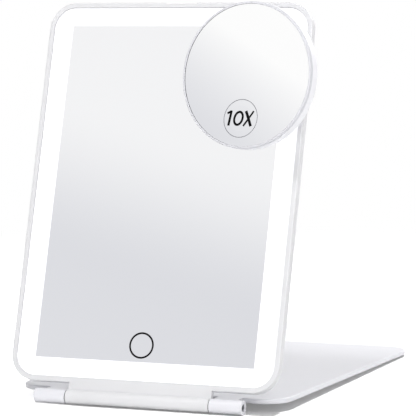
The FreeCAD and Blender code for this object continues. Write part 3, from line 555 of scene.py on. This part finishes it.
@dataclass(frozen=True)
class Stroke:
    """One stroke of a numeral or a ring, in millimetres to the right and up of its own centre.

    Attributes:
        path: Points along the middle of the stroke.
        width: Width of the stroke.
        closed: Whether the stroke runs back to its start.
    """

    path: tuple[tuple[float, float], ...]
    width: float
    closed: bool = False

    def slanted(self, angle: float) -> "Stroke":
        """Lean the stroke to the right.

        Args:
            angle: Angle of the lean in degrees.

        Returns:
            The leaning stroke.
        """
        slope = math.tan(math.radians(angle))
        path = tuple((across + up * slope, up) for across, up in self.path)
        return Stroke(path, self.width, self.closed)


def oval(middle: float, half_width: float, half_height: float, width: float, steps: int) -> Stroke:
    """Closed oval stroke.

    Args:
        middle: How far its middle lies to the right.
        half_width: Half its width, to the middle of the stroke.
        half_height: Half its height, to the middle of the stroke.
        width: Width of the stroke.
        steps: Points along it.

    Returns:
        The stroke.
    """
    turns = [2 * math.pi * step / steps for step in range(steps)]
    path = tuple((middle + half_width * math.cos(turn), half_height * math.sin(turn)) for turn in turns)
    return Stroke(path, width, True)


@dataclass
class Magnifier(Assembly):
    """Round magnifier on its puck: bowl-shaped mirror, ring, cup and a clear label with its power.

    Lengths are in millimetres; heights are from the tilt pin, along the bowl's own axis.

    Attributes:
        tilt: Angle between the bowl's axis and the panel's normal, in degrees.
        bowl_low: Height of the lowest point of the bowl's reflecting face.
        radius: Radius of the bowl's edge.
        curve: Radius of the bowl's curve.
        glass: Thickness of the bowl.
        rim_outer: Outer radius of the ring in front of the cup.
        rim_fit: Gap between the bowl and the ring.
        rim_proud: How far the ring stands in front of the bowl's edge.
        rim_depth: Depth of the ring.
        rim_round: Radius of the ring's outer front edge.
        rim_break: Radius of its inner front edge.
        label_place: Centre of the label, to the right and up.
        label_radius: Radius of the label.
        label_lift: Thickness of the label.
        label_edge: Width of the label's cut edge.
        painted_shade_thickness: Thickness of the dark sheet of painted shade on the ring's inner wall, in
            front of the bowl's edge.
        slant: Lean of the numerals in degrees.
        film: Height of the underside and of the top of a film of ink above what it lies on.
        ring_steps: Corners round the ring and the seal.
        bowl_steps: Corners round the bowl.
        bowl_rows: Rings of corners on the bowl's face.
        back_rows: Rings of corners on the bowl's back.
        label_steps: Corners round the label and its edge.
        label_rows: Rings of corners on the label.
        numeral_steps: Corners round the nought.
    """

    tilt: float = 12.1
    bowl_low: float = 8.9
    radius: float = 41.1
    curve: float = 280.0
    glass: float = 2.0
    rim_outer: float = 42.54
    rim_fit: float = 0.1
    rim_proud: float = 0.6
    rim_depth: float = 2.4
    rim_round: float = 0.6
    rim_break: float = 0.2
    label_place: tuple[float, float] = (-2.76, -24.88)
    label_radius: float = 11.2
    label_lift: float = 0.06
    label_edge: float = 0.4
    painted_shade_thickness: float = 0.03
    slant: float = 7.1
    film: tuple[float, float] = (0.01, 0.04)
    ring_steps: int = 192
    bowl_steps: int = 160
    bowl_rows: int = 28
    back_rows: int = 4
    label_steps: int = 96
    label_rows: int = 6
    numeral_steps: int = 48
    finishes: dict[str, Finish] = field(default_factory=lambda: {
        "magnifier_housing": CUP_PAINTED_LIGHT, "mirror_cushion": FOAM, "puck_body": SHELL, "puck_pad": SILICONE,
        "puck_magnet": STEEL, "tilt_pin": STEEL,
    })

    def __post_init__(self) -> None:
        """Find the bowl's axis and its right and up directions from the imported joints."""
        joints = {joint["name"]: joint for joint in frame["joints"]}
        normal = Vector(joints["magnifier_turn"]["axis"]).normalized()
        pin_axis = Vector(joints["magnifier_tilt"]["axis"]).normalized()
        self.pin = Vector(joints["magnifier_tilt"]["pos_m"])
        lean = math.radians(self.tilt)
        self.axis = (normal * math.cos(lean) + pin_axis.cross(normal) * math.sin(lean)).normalized()
        self.right = Vector((0, 0, 1)).cross(self.axis).normalized()
        self.up = self.axis.cross(self.right)
        self.edge = self.bowl_low + self.curve - math.sqrt(self.curve ** 2 - self.radius ** 2)

    def at(self, across: float, upward: float, height: float) -> Vector:
        """Point in the part's frame, in metres, from distances in the magnifier's own."""
        return self.pin + (self.right * across + self.up * upward + self.axis * height) * MM

    def on_bowl(self, across: float, upward: float, lift: float = 0.0) -> Vector:
        """Point on the bowl's reflecting face.

        Args:
            across: Distance to the right of the bowl's axis.
            upward: Distance up from the bowl's axis.
            lift: Distance in front of the face.

        Returns:
            The point in the part's frame, in metres.
        """
        drop = math.sqrt((self.curve - lift) ** 2 - across ** 2 - upward ** 2)
        return self.at(across, upward, self.bowl_low + self.curve - drop)

    def add(self, piece: bpy.types.Object, finish: Finish, slot: str) -> None:
        """Let a new piece ride on the magnifier in a finish.

        Args:
            piece: The new piece.
            finish: Its finish.
            slot: Not used.
        """
        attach(piece, "magnifier")
        piece.visible_glossy = False
        self.wardrobe.dress(piece, finish)

    def round_sheet(self, name: str, middle: tuple[float, float],
                    rings: Sequence[tuple[float, float]], steps: int) -> bpy.types.Object:
        """Closed round sheet that follows the bowl.

        Args:
            name: Name of the piece.
            middle: Its centre, to the right and up.
            rings: Radius and lift of each ring, from the middle of the front, round the edge, to the
                middle of the back. The first and last rings are points.
            steps: Corners round each ring.

        Returns:
            The new piece.
        """
        points = [self.on_bowl(*middle, rings[0][1])]
        for radius, lift in rings[1:-1]:
            for step in range(steps):
                angle = 2 * math.pi * step / steps
                points.append(self.on_bowl(
                    middle[0] + radius * math.cos(angle), middle[1] + radius * math.sin(angle), lift))
        points.append(self.on_bowl(*middle, rings[-1][1]))
        last = len(points) - 1
        faces: list[tuple[int, ...]] = []
        for step in range(steps):
            after = (step + 1) % steps
            faces.append((0, 1 + step, 1 + after))
            for ring in range(len(rings) - 3):
                low, high = 1 + ring * steps, 1 + (ring + 1) * steps
                faces.append((low + step, high + step, high + after, low + after))
            base = 1 + (len(rings) - 3) * steps
            faces.append((base + step, last, base + after))
        return new_piece(name, points, faces)

    def make_bowl(self) -> None:
        """Bowl-shaped mirror with a smooth reflecting face."""
        front = [(self.radius * row / self.bowl_rows, 0.0) for row in range(self.bowl_rows + 1)]
        back = [(self.radius * row / self.back_rows, -self.glass) for row in range(self.back_rows, -1, -1)]
        bowl = self.round_sheet("magnifier_glass", (0.0, 0.0), front + back, self.bowl_steps)
        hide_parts("magnifier_mirror")
        self.add(bowl, MIRROR, "flat_mirror")

    def turned(self, name: str, profile: Sequence[tuple[float, float]]) -> bpy.types.Object:
        """Closed ring round the bowl's axis.

        Args:
            name: Name of the piece.
            profile: Radius and height of each corner of its section, from the outside over the front to
                the inside.

        Returns:
            The new piece.
        """
        points = []
        for step in range(self.ring_steps):
            angle = 2 * math.pi * step / self.ring_steps
            points += [self.at(radius * math.cos(angle), radius * math.sin(angle), height)
                       for radius, height in profile]
        count = len(profile)
        faces = []
        for step in range(self.ring_steps):
            here, there = step * count, ((step + 1) % self.ring_steps) * count
            for spot in range(count):
                after = (spot + 1) % count
                faces.append((here + spot, there + spot, there + after, here + after))
        return new_piece(name, points, faces)

    def make_rim(self) -> None:
        """Ring that keeps the bowl in its cup, with rounded front edges and a dark sheet of painted shade
        on its inner wall.
        """
        inner, outer = self.radius + self.rim_fit, self.rim_outer
        front = self.edge + self.rim_proud
        back = front - self.rim_depth
        profile = [(outer, back)]
        # Radius of the bend's centre, the bend's own radius and its first angle, for each front edge.
        edges = (
            (outer - self.rim_round, self.rim_round, 0), (inner + self.rim_break, self.rim_break, 90))
        for centre, bend, first in edges:
            for step in range(EDGE_STEPS + 1):
                angle = math.radians(first + 90 * step / EDGE_STEPS)
                profile.append((centre + bend * math.cos(angle), front - bend + bend * math.sin(angle)))
        profile.append((inner, back))
        rim = self.turned("magnifier_ring", profile)
        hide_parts("magnifier_rim")
        self.add(rim, RIM_PAINTED_SHADE, "grey_rim")
        thin, low, high = inner - self.painted_shade_thickness, self.edge - self.rim_fit, front - self.rim_break
        # Painted shade: a dark sheet on the ring's inner wall stands in for the shaded gap between the bowl
        # and the ring.
        wall_shade = self.turned("ring_seal", [(inner, low), (inner, high), (thin, high), (thin, low)])
        self.add(wall_shade, PAINTED_RING_SHADE, "grey_rim")

    def make_label(self) -> None:
        """Clear round label: it mirrors like the bowl under it, and only its cut edge shows."""
        rows = range(self.label_rows + 1)
        rings = [(self.label_radius * row / self.label_rows, self.label_lift) for row in rows]
        rings += [(self.label_radius, self.film[0]), (0.0, self.film[0])]
        label = self.round_sheet("magnifier_label", self.label_place, rings, self.label_steps)
        self.add(label, MIRROR, "flat_mirror")
        radius = self.label_radius - self.label_edge / 2
        edge = oval(0.0, radius, radius, self.label_edge, self.label_steps)
        cut = self.ribbon("label_edge", edge, self.label_place, self.label_lift)
        self.add(cut, CUT_EDGE, "grey_rim")

    def ribbon(self, name: str, stroke: Stroke, middle: tuple[float, float],
               base: float) -> bpy.types.Object:
        """Thin film along a stroke: printed ink, or the cut edge of a label.

        Args:
            name: Name of the piece.
            stroke: The stroke that it follows.
            middle: Centre of the stroke's own distances, to the right and up of the bowl's axis.
            base: Distance of what it lies on in front of the bowl's face.

        Returns:
            The new piece.
        """
        points: list[Vector] = []
        count = len(stroke.path)
        for number, (across, upward) in enumerate(stroke.path):
            before, after = number - 1, (number + 1) % count
            if not stroke.closed:
                before, after = max(number - 1, 0), min(number + 1, count - 1)
            start, stop = stroke.path[before], stroke.path[after]
            way = Vector((stop[0] - start[0], stop[1] - start[1])).normalized()
            for side in (-0.5, 0.5):
                for lift in self.film:
                    points.append(self.on_bowl(
                        middle[0] + across - way.y * side * stroke.width,
                        middle[1] + upward + way.x * side * stroke.width, base + lift))
        # At each point of the path, corners 0 and 1 are one side's underside and top, 2 and 3 the other's.
        faces: list[tuple[int, ...]] = []
        for number in range(count if stroke.closed else count - 1):
            here, there = 4 * number, 4 * ((number + 1) % count)
            for low, high in ((1, 3), (3, 2), (2, 0), (0, 1)):
                faces.append((here + low, there + low, there + high, here + high))
        if not stroke.closed:
            end = 4 * (count - 1)
            faces += [(0, 1, 3, 2), (end, end + 2, end + 3, end + 1)]
        return new_piece(name, points, faces)

    def make_numerals(self) -> None:
        """Magnifying power in plain slanted strokes."""
        strokes = {
            "numeral_one": Stroke(((-7.1, 4.4), (-7.1, 0.0), (-7.1, -4.4)), 1.5),
            "numeral_one_flag": Stroke(((-9.4, 2.7), (-8.4, 3.3), (-7.0, 4.1)), 1.2),
            "numeral_nought": oval(-1.5, 2.7, 3.75, 1.4, self.numeral_steps),
            "times_rising": Stroke(((2.7, -4.4), (5.2, 0.0), (7.7, 4.4)), 1.15),
            "times_falling": Stroke(((2.5, 4.4), (5.1, 0.0), (7.7, -4.4)), 1.75),
        }
        for name, stroke in strokes.items():
            mark = self.ribbon(name, stroke.slanted(self.slant), self.label_place, self.label_lift)
            self.add(mark, INK, "black_ink")

    def dress(self) -> None:
        """Give the CAD nodes their finishes and make the glass, its ring and its label.

        The panel's mirror shows the plain room alone, as in the photograph, so it leaves these pieces out.
        """
        super().dress()
        for node in self.finishes:
            frame["nodes"][node].visible_glossy = False
        self.make_bowl()
        self.make_rim()
        self.make_label()
        self.make_numerals()


@dataclass(frozen=True)
class Softbox:
    """Round soft lamp that lights the part, but neither its mirrors nor the floor.

    Attributes:
        name: What it is called.
        place: Where it stands, in metres.
        width: Its width in metres.
        power: Its power in watts.
        aim: What it points at, in metres.
    """

    name: str
    place: tuple[float, float, float]
    width: float
    power: float
    aim: tuple[float, float, float] = (0.0, -0.05, 0.08)

    def build(self, unlit: bpy.types.Collection) -> None:
        """Set the lamp up.

        Args:
            unlit: Collection with what the lamp leaves dark.
        """
        lamp = bpy.data.lights.new(self.name, "AREA")
        lamp.shape = "DISK"
        lamp.size = self.width
        lamp.energy = self.power
        softbox = bpy.data.objects.new(self.name, lamp)
        softbox.location = self.place
        softbox.rotation_euler = (Vector(self.aim) - Vector(self.place)).to_track_quat("-Z", "Y").to_euler()
        softbox.light_linking.receiver_collection = unlit
        bpy.context.scene.collection.objects.link(softbox)


@dataclass(frozen=True)
class RoomSpan:
    """Smooth rise of the room from grey to white along one direction.

    Attributes:
        side: Direction along which the room turns white; its length scales start and stop.
        start: Distance along it where the rise starts.
        stop: Distance along it where the rise ends.
        most: Share of white at the end. What adds up to more than 1 is plain white.
    """

    side: tuple[float, float, float]
    start: float
    stop: float
    most: float


@dataclass
class Studio:
    """White studio: pale floor, plain soft light and the camera.

    Attributes:
        camera_place: Camera position in metres.
        azimuth: Degrees that the camera stands round to the right of the front.
        elevation: Degrees that it looks down.
        roll: Degrees that it is tipped to its left.
        lens: Focal length in millimetres.
        sensor: Width of the sensor in millimetres.
        floor_half: Half the floor's side in metres.
        sky: Level of the plain light all round.
        room_shade: Hex colour of the room in front, where the mirrors look.
        room: Where the room turns white: above, low on the left, and behind.
        floor_colour: Hex colour of the floor near the part.
        floor_fade: Distances in metres between which the floor fades into the room.
        floor_lift: Light that the floor adds for the camera and for reflections.
        pale_side: Places in metres across, between which the shadow on the left grows pale.
        pale_lift: Light that makes it pale.
        eye: Height of the mirrors in metres, from which the room's directions are taken on the floor.
        floor_light: Strength of the light that falls straight down on the floor alone.
        floor_blur: Degrees of blur in that light's shadow.
        floor_slope: Degrees that it leans, so that shadows fall a little to the left.
        lamps: The softboxes.
    """

    camera_place: tuple[float, float, float] = (0.560928, -1.387895, 0.245297)
    azimuth: float = 22.486
    elevation: float = 5.332
    roll: float = -0.421
    lens: float = 210.324
    sensor: float = 36.0
    floor_half: float = 6.0
    sky: float = 0.25
    room_shade: str = "DDDEE3"
    room: tuple[RoomSpan, ...] = (
        RoomSpan((0.074, 0.0, 1.0), 0.363, 0.421, 0.703),
        RoomSpan((-1.0, 0.0, -1.711), -0.372, 1.465, 2.416),
        RoomSpan((0.0, 1.0, 0.0), -0.45, -0.1, 1.0),
    )
    floor_colour: str = "E8E8E8"
    floor_fade: tuple[float, float] = (0.35, 0.9)
    floor_lift: float = 0.2
    pale_side: tuple[float, float] = (-0.045, -0.075)
    pale_lift: float = 0.62
    eye: float = 0.2
    floor_light: float = 2.8
    floor_blur: float = 3.0
    floor_slope: float = 5.0
    lamps: tuple[Softbox, ...] = (
        Softbox("key_softbox", (0.906, -1.21, 0.95), 0.9, 9.5),
        Softbox("low_softbox", (-0.14, -1.7, 0.44), 0.5, 2.8),
        Softbox("high_softbox", (-0.3, -0.98, 1.78), 0.5, 15.0),
        Softbox("back_softbox", (0.2, 0.45, 0.5), 0.3, 2.1, (0.0, 0.05, 0.0)),
        Softbox("right_softbox", (1.52, -0.16, 0.5), 0.8, 3.8),
    )

    def build_camera(self) -> None:
        """Stand the camera where the photograph was taken from."""
        turn, dip = math.radians(self.azimuth), math.radians(self.elevation)
        ahead = Vector((-math.sin(turn) * math.cos(dip), math.cos(turn) * math.cos(dip), -math.sin(dip)))
        level = Vector((math.cos(turn), math.sin(turn), 0))
        right = Matrix.Rotation(-math.radians(self.roll), 3, ahead) @ level
        up = right.cross(ahead)
        lens = bpy.data.cameras.new("camera")
        lens.lens = self.lens
        lens.sensor_width = self.sensor
        camera = bpy.data.objects.new("camera", lens)
        turned = Matrix((right, up, -ahead)).transposed().to_4x4()
        camera.matrix_world = Matrix.Translation(self.camera_place) @ turned
        bpy.context.scene.collection.objects.link(camera)
        bpy.context.scene.camera = camera

    def seen_rays(self, tree: bpy.types.NodeTree) -> bpy.types.NodeSocket:
        """Whether a ray comes from the camera, a reflection or something clear.

        Args:
            tree: Node tree of the floor or the world.

        Returns:
            Socket that is 1 for such rays and 0 for plain light.
        """
        rays = add_node(tree, "ShaderNodeLightPath").outputs
        shown = rays["Is Camera Ray"]
        for kind in ("Is Glossy Ray", "Is Transmission Ray"):
            either = add_node(tree, "ShaderNodeMath", {0: shown, 1: rays[kind]}, operation="MAXIMUM")
            shown = either.outputs[0]
        return shown

    def room_colour(self, tree: bpy.types.NodeTree, way: bpy.types.NodeSocket) -> bpy.types.NodeSocket:
        """Colour of the room in one direction: white for the camera, a soft cool grey in front for mirrors.

        Args:
            tree: Node tree of the floor or the world.
            way: Socket with the direction from the part, of length 1.

        Returns:
            Socket with the colour.
        """
        white = add_node(tree, "ShaderNodeLightPath").outputs["Is Camera Ray"]
        for span in self.room:
            along = add_node(tree, "ShaderNodeVectorMath", {0: way, 1: span.side}, operation="DOT_PRODUCT")
            share = add_node(tree, "ShaderNodeMapRange", {
                "Value": along.outputs["Value"], "From Min": span.start, "From Max": span.stop,
                "To Max": span.most}, interpolation_type="SMOOTHSTEP").outputs["Result"]
            white = add_node(tree, "ShaderNodeMath", {0: white, 1: share}, use_clamp=True).outputs[0]
        return shade_range(tree, white, self.room_shade, "FFFFFF")

    def build_floor(self) -> bpy.types.Object:
        """Pale floor that fades to the white background and keeps the object's shadow.

        Returns:
            The floor.
        """
        half = self.floor_half
        corners = ((-half, -half), (half, -half), (half, half), (-half, half))
        floor = new_piece("floor", [Vector((*corner, 0)) for corner in corners], [(0, 1, 2, 3)])
        made, tree = empty_material("white_paper_floor")
        shown = self.seen_rays(tree)
        place = add_node(tree, "ShaderNodeNewGeometry").outputs["Position"]
        reach = add_node(tree, "ShaderNodeVectorMath", {0: place}, operation="LENGTH").outputs["Value"]
        near_edge, far_edge = self.floor_fade
        away = add_node(tree, "ShaderNodeMapRange", {
            "Value": reach, "From Min": near_edge, "From Max": far_edge},
            interpolation_type="SMOOTHSTEP").outputs["Result"]
        away = add_node(tree, "ShaderNodeMath", {0: away, 1: shown}, operation="MULTIPLY").outputs[0]
        eye = (0.0, 0.0, self.eye)
        way = add_node(tree, "ShaderNodeVectorMath", {0: place, 1: eye}, operation="SUBTRACT")
        way = add_node(tree, "ShaderNodeVectorMath", {0: way.outputs["Vector"]}, operation="NORMALIZE")
        colour = self.room_colour(tree, way.outputs["Vector"])
        across = add_node(tree, "ShaderNodeSeparateXYZ", {0: place}).outputs["X"]
        lift = add_node(tree, "ShaderNodeMapRange", {
            "Value": across, "From Min": self.pale_side[0], "From Max": self.pale_side[1],
            "To Min": self.floor_lift, "To Max": self.floor_lift + self.pale_lift}).outputs["Result"]
        lift = add_node(tree, "ShaderNodeMath", {0: shown, 1: lift}, operation="MULTIPLY").outputs[0]
        near = add_node(tree, "ShaderNodeBsdfPrincipled", {
            "Base Color": linear(self.floor_colour), "Roughness": 0.9, "Specular IOR Level": 0.0,
            "Emission Color": linear("FFFFFF"), "Emission Strength": lift})
        room = add_node(tree, "ShaderNodeEmission", {"Color": colour})
        both = add_node(tree, "ShaderNodeMixShader", {
            0: away, 1: near.outputs["BSDF"], 2: room.outputs["Emission"]})
        add_node(tree, "ShaderNodeOutputMaterial", {"Surface": both.outputs["Shader"]})
        floor.data.materials.append(made)
        return floor

    def build_world(self) -> None:
        """White behind the object, softer grey in front where the mirrors look, plain light all round."""
        world = bpy.data.worlds.new("white_studio")
        bpy.context.scene.world = world
        world.use_nodes = True
        tree = world.node_tree
        tree.nodes.clear()
        way = add_node(tree, "ShaderNodeTexCoord").outputs["Generated"]
        plain = add_node(tree, "ShaderNodeBackground", {"Color": linear("FFFFFF"), "Strength": self.sky})
        room = add_node(tree, "ShaderNodeBackground", {"Color": self.room_colour(tree, way)})
        both = add_node(tree, "ShaderNodeMixShader", {
            0: self.seen_rays(tree), 1: plain.outputs["Background"], 2: room.outputs["Background"]})
        add_node(tree, "ShaderNodeOutputWorld", {"Surface": both.outputs["Shader"]})

    def build_lamps(self, floor: bpy.types.Object) -> None:
        """Softboxes for the part, and light from straight above for the floor's close shadow.

        The softboxes leave the mirrors out, so no lamp shows in the glass.

        Args:
            floor: The studio's floor.
        """
        meshes = [piece for piece in bpy.data.objects if piece.type == "MESH"]
        mirrors = [piece for piece in meshes if MIRROR.name in piece.data.materials]
        groups = {}
        for state, pieces in (("INCLUDE", [floor]), ("EXCLUDE", [floor, *mirrors])):
            groups[state] = bpy.data.collections.new(f"lamps_{state.lower()}")
            for piece in pieces:
                groups[state].objects.link(piece)
            for entry in groups[state].collection_objects:
                entry.light_linking.link_state = state
        for lamp in self.lamps:
            lamp.build(groups["EXCLUDE"])
        above = bpy.data.lights.new("floor_light", "SUN")
        above.energy = self.floor_light
        above.angle = math.radians(self.floor_blur)
        straight_down = bpy.data.objects.new("floor_light", above)
        straight_down.rotation_euler = (0.0, math.radians(self.floor_slope), 0.0)
        straight_down.light_linking.receiver_collection = groups["INCLUDE"]
        bpy.context.scene.collection.objects.link(straight_down)

    def build(self) -> None:
        """Set up the whole studio."""
        self.build_camera()
        floor = self.build_floor()
        self.build_world()
        self.build_lamps(floor)
        bpy.context.scene.view_settings.view_transform = "Standard"


def main() -> None:
    """Build the mirror's looks and the studio round it."""
    logging.basicConfig(level=logging.INFO, format="%(message)s")
    wardrobe = Wardrobe()
    for assembly in (Panel(wardrobe), Base(wardrobe), Magnifier(wardrobe)):
        assembly.dress()
        log.info("%s dressed", type(assembly).__name__)
    Studio().build()


if __name__ == "__main__":
    main()
